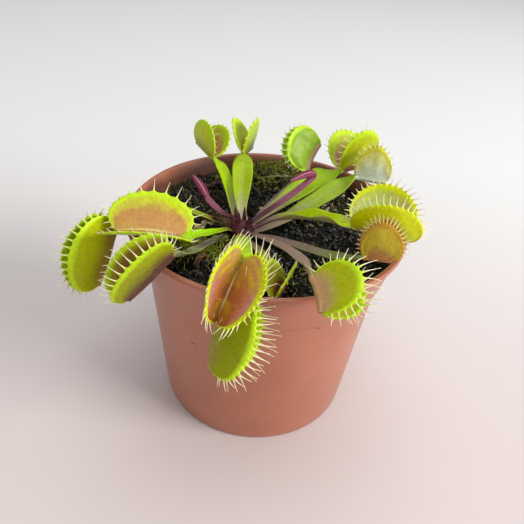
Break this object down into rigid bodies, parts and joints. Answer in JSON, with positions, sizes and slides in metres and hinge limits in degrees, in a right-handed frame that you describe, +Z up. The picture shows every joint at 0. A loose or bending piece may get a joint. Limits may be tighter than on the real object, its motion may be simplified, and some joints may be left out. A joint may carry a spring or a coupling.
{
  "type": "potted venus flytrap",
  "caption": "Carnivorous rosette plant with toothed, hinged snap traps on winged stalks, some hanging over the rim, growing in peat in a round tapered plastic plant pot.",
  "frame": {"origin": "middle of the underside of the pot, on the surface it stands on", "axes": "+Z straight up along the axis of the pot, +Y away from the side where the longest traps hang over the rim, +X to the right of that side"},
  "size_m": [0.1083, 0.1101, 0.0955],
  "materials": {
    "terracotta_plastic": "satin",
    "peat": "rough",
    "crown_tissue": "satin",
    "green_leaf_left_open": "satin",
    "green_leaf_left_far": "satin",
    "green_leaf_left_near": "satin",
    "green_leaf_back_left": "satin",
    "green_leaf_back_mid": "satin",
    "green_leaf_back_right": "satin",
    "green_leaf_right_back": "satin",
    "green_leaf_right_pale": "satin",
    "green_leaf_right_large": "satin",
    "green_leaf_right_small": "satin",
    "green_leaf_front_right": "satin",
    "green_leaf_front_open": "satin",
    "green_leaf_front_hanging": "satin",
    "green_leaf_front_small": "satin",
    "young_tissue": "satin"
  },
  "bodies": {
    "root": {"pot": "terracotta_plastic", "soil": "peat", "crown": "crown_tissue", "leaf_left_open": "green_leaf_left_open", "leaf_left_far": "green_leaf_left_far", "leaf_left_near": "green_leaf_left_near", "leaf_back_left": "green_leaf_back_left", "leaf_back_mid": "green_leaf_back_mid", "leaf_back_right": "green_leaf_back_right", "leaf_right_back": "green_leaf_right_back", "leaf_right_pale": "green_leaf_right_pale", "leaf_right_large": "green_leaf_right_large", "leaf_right_small": "green_leaf_right_small", "leaf_front_right": "green_leaf_front_right", "leaf_front_open": "green_leaf_front_open", "leaf_front_hanging": "green_leaf_front_hanging", "leaf_front_small": "green_leaf_front_small", "young_leaf_left": "young_tissue", "young_leaf_right": "young_tissue"}
  },
  "joints": []
}
